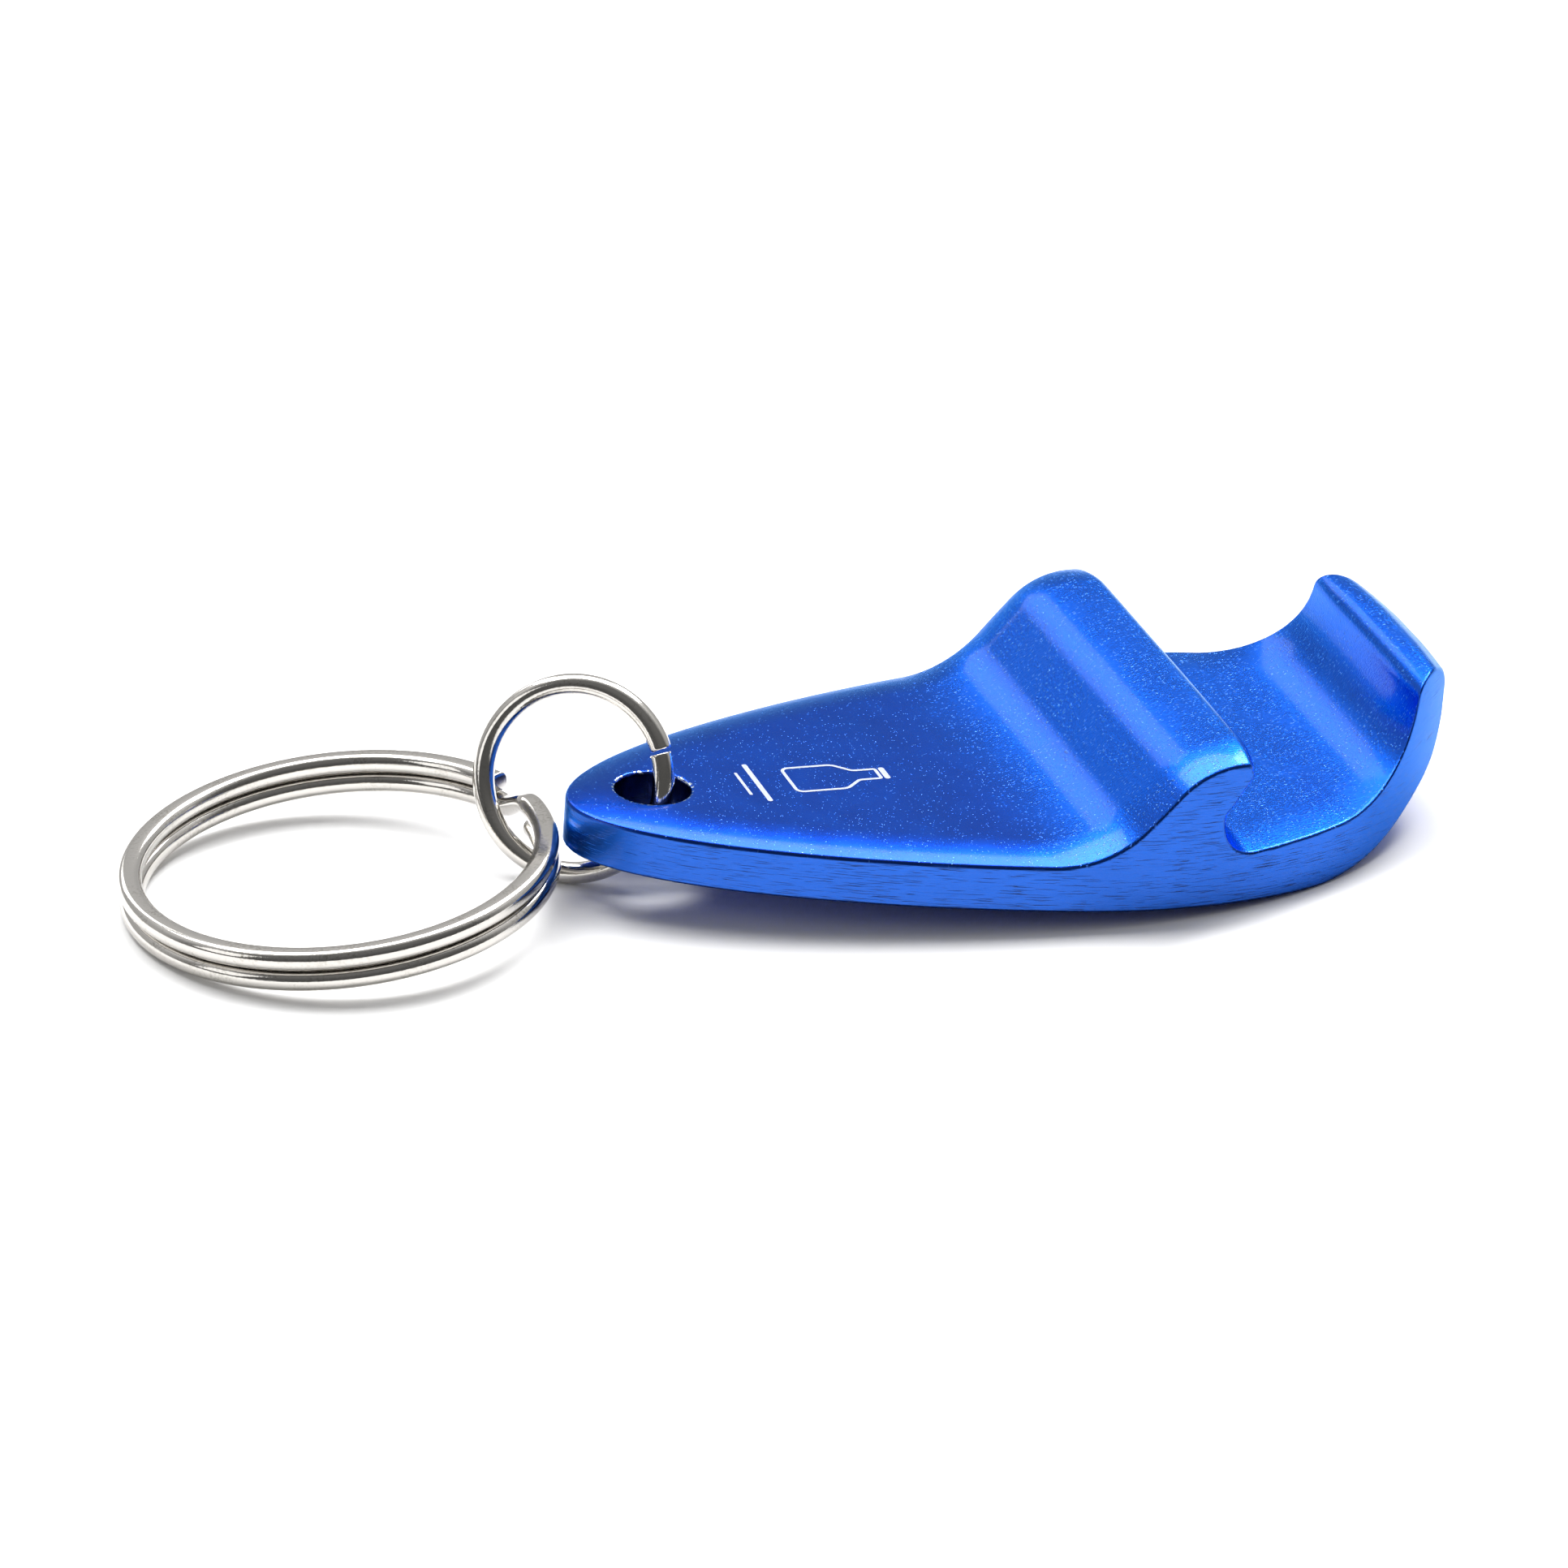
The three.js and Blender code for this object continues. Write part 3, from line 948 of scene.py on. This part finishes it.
    def settle(self, mesh: bpy.types.Mesh) -> None:
        """Moves each vertex onto the tumbled skin, and evens out the quads along it.

        Args:
            mesh: The skin of quads.
        """
        points = coordinates(mesh)
        ends = np.empty(len(mesh.edges) * 2, np.int32)
        mesh.edges.foreach_get("vertices", ends)
        first, second = ends.reshape(-1, 2).T
        count = np.bincount(ends, minlength=len(points))[:, None]
        for relax in self.relaxing:
            state = self.measure(points)
            points -= np.clip(state.height, -1, 1)[:, None] * state.slope
            if relax:
                total = np.zeros_like(points)
                np.add.at(total, first, points[second])
                np.add.at(total, second, points[first])
                pull = total / count - points
                pull -= (pull * state.slope).sum(1)[:, None] * state.slope
                points += relax * pull
        self.state = self.measure(points)
        self.points = points
        mesh.vertices.foreach_set("co", points.astype(np.float32).ravel())
        mesh.update()

    def write_attributes(self, mesh: bpy.types.Mesh) -> None:
        """Stores what the finish needs, places the mesh, and sets its normals from the skin itself.

        Args:
            mesh: The settled skin.
        """
        state, points = self.state, self.points
        zero = np.zeros(len(points))
        middle = state.outline_run.max() / 2
        round_side = middle - np.abs(state.outline_run - middle)
        store(mesh, "profile_at", np.stack([state.profile_run, points[:, 1], zero], axis=1))
        store(mesh, "outline_at", np.stack([round_side, points[:, 2], zero], axis=1))
        store(mesh, "flank", state.flank)
        # This mask tells the finish where to paint the shade inside the hole.
        store(mesh, "bore_shade", ease(state.bore_shade, 0.6, 1.0))
        store(mesh, "rim", state.rim)
        top = ease(points[:, 2], -self.thickness, -self.thickness / 2)
        # This mask gives the hook and the lip coarser grain, and it also paints them lighter as painted light.
        store(mesh, "worked_and_lit", ease(points[:, 0], *self.hook_starts) * top)
        mesh.transform(self.place)
        turn = np.array(self.place.to_3x3().normalized())
        normals = state.slope @ turn.T
        normals /= np.linalg.norm(normals, axis=1)[:, None]
        mesh.shade_smooth()
        mesh.normals_split_custom_set_from_vertices(normals.tolist())

    def build_mark(self, finish: Finish) -> Piece:
        """The laser mark: a plain bottle's outline and two bars, hair-thin on the plate's top face.

        Args:
            finish: The mark's finish.

        Returns:
            The mark, in place.
        """
        sheet = bmesh.new()
        BottleSign().draw(sheet)
        sheet.transform(self.place)
        mesh = bpy.data.meshes.new("laser_mark")
        sheet.to_mesh(mesh)
        sheet.free()
        mesh.materials.append(finish)
        return link_object("laser_mark", mesh)


@dataclass
class BottleSign:
    """A plain bottle's outline with a cap line and two bars at its foot, in the opener's millimetres."""

    foot_x: float = 15.6
    middle_y: float = -0.5
    body_length: float = 3.6
    shoulder_length: float = 1.2
    neck_length: float = 1.6
    body_half: float = 1.9
    neck_half: float = 0.75
    foot_round: float = 0.5
    shoulder_round: float = 0.9
    neck_round: float = 0.6
    mouth_round: float = 0.15
    stroke: float = 0.24
    cap_ahead: float = 0.45
    cap_half: float = 0.9
    cap_width: float = 0.42
    bar_x: float = 13.3
    bar_half: float = 3.0
    bar_width: float = 0.36
    small_bar_behind: float = 1.0
    small_bar_share: float = 0.6
    end_roundness: float = 0.98
    proud: float = 0.012
    sunk: float = 0.05

    def draw(self, sheet: bmesh.types.BMesh) -> None:
        """Draws the bottle, its cap and the bars.

        Args:
            sheet: The mesh that they are added to.
        """
        shoulder = self.foot_x + self.body_length
        neck = shoulder + self.shoulder_length
        mouth = neck + self.neck_length
        side = [
            (self.foot_x, self.body_half, self.foot_round),
            (shoulder, self.body_half, self.shoulder_round),
            (neck, self.neck_half, self.neck_round),
            (mouth, self.neck_half, self.mouth_round),
        ]
        far_side = [(x, -y, rounding) for x, y, rounding in reversed(side)]
        self.band(sheet, side + far_side)
        self.pill(sheet, mouth + self.cap_ahead, self.cap_half, self.cap_width)
        self.pill(sheet, self.bar_x, self.bar_half, self.bar_width)
        small = self.small_bar_share
        self.pill(sheet, self.bar_x - self.small_bar_behind, self.bar_half * small, self.bar_width * small)

    def band(self, sheet: bmesh.types.BMesh, corners: Loop) -> None:
        """A closed line of the stroke's width along a rounded outline.

        Args:
            sheet: The mesh that it is added to.
            corners: The outline's corners and their radii.
        """
        line = ClosedOutline(*rounded_corners(corners, math.radians(10)))
        half = self.stroke / 2
        outer = line.points + line.corner_normal * half
        inner = line.points - line.corner_normal * half
        top = [(loop, self.proud) for loop in (outer, inner)]
        foot = [(loop, -self.sunk) for loop in (inner, outer)]
        rings = [
            [sheet.verts.new((x, y + self.middle_y, z)) for x, y in loop]
            for loop, z in top + foot
        ]
        for near, far in zip(rings, rings[1:] + rings[:1]):
            for k in range(len(outer)):
                sheet.faces.new((near[k - 1], near[k], far[k], far[k - 1]))
        bmesh.ops.recalc_face_normals(sheet, faces=sheet.faces)

    def pill(self, sheet: bmesh.types.BMesh, x: float, half_length: float, width: float) -> None:
        """A bar across the opener with round ends.

        Args:
            sheet: The mesh that it is added to.
            x: Where the bar lies along the opener.
            half_length: Half its length.
            width: Its width.
        """
        half = width / 2
        rounding = half * self.end_roundness
        signs = ((-1, -1), (1, -1), (1, 1), (-1, 1))
        corners = [(x + half * across, half_length * along, rounding) for across, along in signs]
        loop, _ = rounded_corners(corners, math.radians(15))
        upper, lower = (
            [sheet.verts.new((px, py + self.middle_y, z)) for px, py in loop]
            for z in (self.proud, -self.sunk)
        )
        faces = [sheet.faces.new(upper), sheet.faces.new(lower[::-1])]
        for k in range(len(loop)):
            faces.append(sheet.faces.new((upper[k - 1], lower[k - 1], lower[k], upper[k])))
        bmesh.ops.recalc_face_normals(sheet, faces=faces)


# ---- The rings ----


@dataclass
class WoundRing:
    """A ring wound from one length of stock, made by Geometry Nodes in its own plane, in millimetres.

    Args:
        name: The piece's name.
        section: The stock.
        radius: The radius of the stock's centre line.
        width: The stock's width across the ring.
        height: The stock's height along the ring's axis.
        corner: The radius of a flat band's edges.
        first_angle: Where the winding starts, in degrees from the ring's own +X.
        sweep: How far it is wound, in degrees.
        hand: Which way it is wound.
        level: How far it is wound before it starts to climb, in degrees.
        climb_over: The angle that it climbs over, in degrees.
        climb: How far it climbs along the axis.
        steps: How many points its centre line has.
        end_chamfer: The rounding of its cut ends.
        wire_sides: How many sides the round wire has.
        corner_steps: How many points each rounded edge of the band has.
        chamfer_steps: How many facets the rounding of the cut ends has.
        cut_edge_angle: The angle from which an edge is taken as a cut end's.
        sharp_angle: The angle from which an edge is shaded sharp.
    """

    name: str
    section: Section
    radius: float
    width: float
    height: float
    corner: float
    first_angle: float
    sweep: float
    hand: Hand
    level: float
    climb_over: float
    climb: float
    steps: int
    end_chamfer: float
    wire_sides: int = 40
    corner_steps: int = 10
    chamfer_steps: int = 3
    cut_edge_angle: float = 50.0
    sharp_angle: float = 55.0

    def tree(self) -> bpy.types.NodeTree:
        """The node tree that winds the stock.

        Returns:
            The tree, with named inputs for its sizes.
        """
        tree = bpy.data.node_groups.new(self.name + "_winding", "GeometryNodeTree")
        sizes = {
            "Radius": self.radius,
            "Width": self.width,
            "Height": self.height,
            "Corner": self.corner,
            "First Angle": math.radians(self.first_angle),
            "Sweep": math.radians(self.sweep) * self.hand.value,
            "Level Share": self.level / self.sweep,
            "Climbed Share": (self.level + self.climb_over) / self.sweep,
            "Climb": self.climb,
        }
        for name, value in sizes.items():
            item = tree.interface.new_socket(name, in_out="INPUT", socket_type="NodeSocketFloat")
            item.default_value = value
        steps = tree.interface.new_socket("Steps", in_out="INPUT", socket_type="NodeSocketInt")
        steps.default_value = self.steps
        tree.interface.new_socket("Finish", in_out="INPUT", socket_type="NodeSocketMaterial")
        tree.interface.new_socket("Ring", in_out="OUTPUT", socket_type="NodeSocketGeometry")
        graph = NodeGraph(tree)
        given = graph.add("NodeGroupInput").outputs
        path = self.path(graph, given)
        stock = self.stock(graph, given)
        swept = graph.add("GeometryNodeCurveToMesh", {"Curve": path, "Profile Curve": stock})
        swept.inputs["Fill Caps"].default_value = True
        smooth = graph.add("GeometryNodeSetShadeSmooth", {"Geometry": swept.outputs[0]})
        real = graph.add("GeometryNodeRealizeInstances", {"Geometry": smooth.outputs[0]})
        inputs = {"Geometry": real.outputs[0], "Material": given["Finish"]}
        dressed = graph.add("GeometryNodeSetMaterial", inputs)
        output = graph.add("NodeGroupOutput")
        graph.put(output.inputs["Ring"], dressed.outputs[0])
        return tree

    def path(self, graph: NodeGraph, given: object) -> Socket:
        """The centre line: a level stretch, a climb and a second level stretch around the axis.

        Args:
            graph: The tree's node graph.
            given: The tree's inputs.

        Returns:
            The centre line's socket, with its run stored on it.
        """
        line = graph.add("GeometryNodeCurvePrimitiveLine", {"End": (1.0, 0.0, 0.0)})
        inputs = {"Curve": line.outputs[0], "Count": given["Steps"]}
        points = graph.add("GeometryNodeResampleCurve", inputs)
        share = graph.add("GeometryNodeSplineParameter").outputs["Factor"]
        angle = graph.math("MULTIPLY_ADD", share, given["Sweep"], given["First Angle"])
        inputs = {"Value": share, "From Min": given["Level Share"], "From Max": given["Climbed Share"]}
        risen = graph.add("ShaderNodeMapRange", inputs, interpolation_type="SMOOTHSTEP")
        above = graph.math("SUBTRACT", risen.outputs["Result"], 0.5)
        inputs = {
            "X": graph.math("MULTIPLY", graph.math("COSINE", angle), given["Radius"]),
            "Y": graph.math("MULTIPLY", graph.math("SINE", angle), given["Radius"]),
            "Z": graph.math("MULTIPLY", above, given["Climb"]),
        }
        place = graph.add("ShaderNodeCombineXYZ", inputs).outputs["Vector"]
        inputs = {"Geometry": points.outputs[0], "Position": place}
        wound = graph.add("GeometryNodeSetPosition", inputs)
        level = graph.add("GeometryNodeSetCurveNormal", {"Curve": wound.outputs[0]}, mode="Z_UP")
        run = graph.add("GeometryNodeSplineParameter").outputs["Length"]
        return self.stored(graph, level.outputs[0], "run_at", "FLOAT", run)

    def stock(self, graph: NodeGraph, given: object) -> Socket:
        """The stock's section.

        Args:
            graph: The tree's node graph.
            given: The tree's inputs.

        Returns:
            The section's socket, with its own coordinates stored on it.
        """
        if self.section is Section.ROUND_WIRE:
            half = graph.math("MULTIPLY", given["Width"], 0.5)
            inputs = {"Resolution": self.wire_sides, "Radius": half}
            curve = graph.add("GeometryNodeCurvePrimitiveCircle", inputs)
            shape = curve.outputs["Curve"]
        else:
            inputs = {"Width": given["Width"], "Height": given["Height"]}
            curve = graph.add("GeometryNodeCurvePrimitiveQuadrilateral", inputs)
            inputs = {"Curve": curve.outputs[0], "Radius": given["Corner"], "Count": self.corner_steps}
            shape = graph.add("GeometryNodeFilletCurve", inputs, mode="POLY").outputs[0]
        at = graph.add("GeometryNodeInputPosition").outputs[0]
        return self.stored(graph, shape, "section_at", "FLOAT_VECTOR", at)

    def stored(self, graph: NodeGraph, shape: object, name: str, kind: str, value: object) -> Socket:
        """Stores a named attribute on a curve's points.

        Args:
            graph: The tree's node graph.
            shape: The curve's socket.
            name: The attribute's name.
            kind: Its data type.
            value: Its value's socket.

        Returns:
            The curve's socket.
        """
        node = graph.add("GeometryNodeStoreNamedAttribute", data_type=kind, domain="POINT")
        graph.put(node.inputs["Geometry"], shape)
        graph.put(node.inputs["Name"], name)
        graph.put(node.inputs["Value"], value)
        return node.outputs[0]

    def build(self, place: Matrix, finish: Finish) -> Piece:
        """Winds the ring, rounds its cut ends and sets it in place.

        Args:
            place: The ring's place in the shared frame.
            finish: Its finish.

        Returns:
            The ring, in place.
        """
        source = link_object(self.name + "_source", bpy.data.meshes.new(self.name))
        winding = source.modifiers.new("winding", "NODES")
        winding.node_group = self.tree()
        identifiers = {
            item.name: item.identifier
            for item in winding.node_group.interface.items_tree
            if item.in_out == "INPUT"
        }
        winding[identifiers["Finish"]] = finish
        rounding = source.modifiers.new("cut_ends", "BEVEL")
        rounding.width = self.end_chamfer
        rounding.segments = self.chamfer_steps
        rounding.limit_method = "ANGLE"
        rounding.angle_limit = math.radians(self.cut_edge_angle)
        mesh = evaluated_copy(source, self.name)
        mesh.transform(place)
        mesh.shade_smooth()
        mesh.set_sharp_from_angle(angle=math.radians(self.sharp_angle))
        return link_object(self.name, mesh)


@dataclass
class Rings:
    """The jump ring through the nose and the split ring through it."""

    jump_outer: float = 14.3
    jump_wire: float = 1.5
    jump_gap: float = 0.25
    jump_gap_angle: float = 23.0
    jump_ends_apart: float = 0.55
    split_outer: float = 30.0
    band_width: float = 1.7
    turn_height: float = 1.4
    turn_gap: float = 0.1
    band_corner: float = 0.64
    split_cut_angle: float = 4.5
    jog_angle: float = 17.5
    end_gap: float = 0.2
    jump_steps: int = 220
    jump_chamfer: float = 0.09
    split_steps: int = 700
    split_chamfer: float = 0.12

    def build_jump_ring(self, finish: Finish) -> Piece:
        """Builds the jump ring, whose cut ends meet a little out of line.

        Args:
            finish: Its finish.

        Returns:
            The ring, in place.
        """
        joint = row_named(frame["joints"], "split_ring_travel")
        away = Vector(joint["axis"])
        level = Vector((away.y, -away.x, 0))
        radius = (self.jump_outer - self.jump_wire) / 2
        half_gap = math.degrees(self.jump_gap / 2 / radius)
        sweep = 360 - 2 * half_gap
        ring = WoundRing(
            name="jump_ring_wire",
            section=Section.ROUND_WIRE,
            radius=radius,
            width=self.jump_wire,
            height=self.jump_wire,
            corner=0,
            first_angle=self.jump_gap_angle + half_gap,
            sweep=sweep,
            hand=Hand.LEFT,
            level=0,
            climb_over=sweep,
            climb=self.jump_ends_apart,
            steps=self.jump_steps,
            end_chamfer=self.jump_chamfer,
        )
        return ring.build(placement(level, -away, Vector(joint["pos_m"])), finish)

    def build_split_ring(self, finish: Finish) -> Piece:
        """Builds the split ring: two turns of flat band and the jog between them.

        Args:
            finish: Its finish.

        Returns:
            The ring, in place.
        """
        loop = row_named(frame["record"]["mounts"], "key_loop")
        radius = (self.split_outer - self.band_width) / 2
        ring = WoundRing(
            name="split_ring_band",
            section=Section.FLAT_BAND,
            radius=radius,
            width=self.band_width,
            height=self.turn_height,
            corner=self.band_corner,
            first_angle=self.split_cut_angle,
            sweep=720 - self.jog_angle - math.degrees(self.end_gap / radius),
            hand=Hand.RIGHT,
            level=360 - self.jog_angle,
            climb_over=self.jog_angle,
            climb=self.turn_height + self.turn_gap,
            steps=self.split_steps,
            end_chamfer=self.split_chamfer,
        )
        return ring.build(placement(Vector((1, 0, 0)), Vector(loop["axis"]), Vector(loop["pos_m"])), finish)


# ---- The studio ----


@dataclass
class Studio:
    """A pale floor, soft lights and the camera."""

    azimuth: float = -18.53
    elevation: float = 25.90
    distance: float = 0.6265
    lens: float = 213.1
    aim: tuple[float, float, float] = (-0.00189, -0.0051, 0.00815)
    low_strength: float = 0.58
    sky_strength: float = 1.0
    front_strength: float = 0.2
    sky_between: Between = (0.3, 0.85)
    front_between: Between = (-0.25, 0.35)
    floor_half: float = 3.0
    floor_colour: Colour = (0.92, 0.92, 0.92, 1)
    sensor: float = 36.0

    def build(self) -> None:
        """Builds the whole studio."""
        self.build_floor()
        self.build_world()
        self.build_lights()
        self.build_camera()

    def build_floor(self) -> None:
        """A wide pale floor under the object."""
        mesh = bpy.data.meshes.new("floor")
        half = self.floor_half
        corners = [(-half, -half, 0), (half, -half, 0), (half, half, 0), (-half, half, 0)]
        mesh.from_pydata(corners, [], [(0, 1, 2, 3)])
        material, _, shader = new_material("pale_floor")
        shader.inputs["Base Color"].default_value = self.floor_colour
        shader.inputs["Roughness"].default_value = 0.9
        shader.inputs["Specular IOR Level"].default_value = 0.2
        mesh.materials.append(material)
        link_object("floor", mesh)

    def build_world(self) -> None:
        """A pale world that darkens towards the camera's side, as a room beyond a light tent does."""
        world = bpy.data.worlds.new("studio")
        world.use_nodes = True
        bpy.context.scene.world = world
        graph = NodeGraph(world.node_tree)
        world.node_tree.nodes.clear()
        around = graph.add("ShaderNodeTexCoord").outputs["Generated"]
        a = math.radians(self.azimuth)
        towards_camera = (math.sin(a), -math.cos(a), 0.0)
        facing = graph.add("ShaderNodeVectorMath", {0: around, 1: towards_camera}, operation="DOT_PRODUCT")
        height = graph.add("ShaderNodeSeparateXYZ", {"Vector": around}).outputs["Z"]
        sky = graph.smooth(height, *self.sky_between)
        lit = graph.math("MULTIPLY_ADD", sky, self.sky_strength - self.low_strength, self.low_strength)
        front = graph.smooth(facing.outputs["Value"], *self.front_between)
        kept = graph.math("MULTIPLY_ADD", front, self.front_strength - 1.0, 1.0)
        inputs = {"Color": (1.0, 1.0, 1.0, 1.0), "Strength": graph.math("MULTIPLY", lit, kept)}
        background = graph.add("ShaderNodeBackground", inputs)
        output = graph.add("ShaderNodeOutputWorld")
        graph.put(output.inputs["Surface"], background.outputs[0])

    def build_lights(self) -> None:
        """An overhead softbox, a strip behind, and a softbox at each side."""
        self.softbox("overhead", (0.05, 0.32, 0.77), (0.0, 0.0, 0.0), (1.1, 0.48), 11.5)
        self.softbox("back_strip", (-0.22, 0.84, 0.46), (0.0, 0.0, 0.02), (0.26, 0.4), 0.9)
        self.softbox("back_right", (0.53, 0.44, 0.66), (0.0, 0.0, 0.0), (0.3, 0.3), 4.0)
        self.softbox("side_left", (-0.85, -0.1, 0.42), (0.0, 0.0, 0.0), (0.4, 0.5), 1.0)

    def softbox(self, name: str, at: tuple, aim: tuple, size: tuple[float, float], watts: float) -> None:
        """Adds one soft rectangular light.

        Args:
            name: The light's name.
            at: Where it stands.
            aim: What it points at.
            size: Its width and height.
            watts: Its power.
        """
        light = bpy.data.lights.new(name, "AREA")
        light.shape = "RECTANGLE"
        light.size, light.size_y = size
        light.energy = watts
        holder = bpy.data.objects.new(name, light)
        bpy.context.scene.collection.objects.link(holder)
        holder.location = at
        holder.rotation_euler = (Vector(aim) - Vector(at)).to_track_quat("-Z", "Y").to_euler()

    def build_camera(self) -> None:
        """The camera, looking a little down on the opener's right side."""
        a, e = math.radians(self.azimuth), math.radians(self.elevation)
        back = Vector((math.sin(a) * math.cos(e), -math.cos(a) * math.cos(e), math.sin(e)))
        camera = bpy.data.cameras.new("camera")
        camera.lens = self.lens
        camera.sensor_width = self.sensor
        camera.clip_start = 0.01
        camera.clip_end = 20.0
        holder = bpy.data.objects.new("camera", camera)
        bpy.context.scene.collection.objects.link(holder)
        holder.location = Vector(self.aim) + back * self.distance
        holder.rotation_euler = (-back).to_track_quat("-Z", "Y").to_euler()
        bpy.context.scene.camera = holder
        bpy.context.scene.view_settings.view_transform = "Standard"


def hand_over(piece: Piece, body: str, node: str = "") -> None:
    """Joins a finished piece to the frame and reports it.

    Args:
        piece: The piece.
        body: The body that it rides on.
        node: The node that it stands for, if it stands for one.
    """
    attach(piece, body)
    if node:
        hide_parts(node)
    triangles = sum(len(face.vertices) - 2 for face in piece.data.polygons)
    LOG.info("%s rides on %s with %d triangles", piece.name, body, triangles)


def main() -> None:
    """Builds the opener, its rings and the studio."""
    logging.basicConfig(level=logging.INFO, format="%(name)s: %(message)s")
    blue = AnodisedBlue().build()
    nickel = NickelPlate().build()
    laser = LaserMark().build()
    opener, mark = OpenerBody().build(blue, laser)
    hand_over(opener, "opener", "opener_body")
    hand_over(mark, "opener")
    rings = Rings()
    hand_over(rings.build_jump_ring(nickel), "jump_ring", "jump_ring")
    hand_over(rings.build_split_ring(nickel), "split_ring", "split_ring")
    Studio().build()


if __name__ == "__main__":
    main()
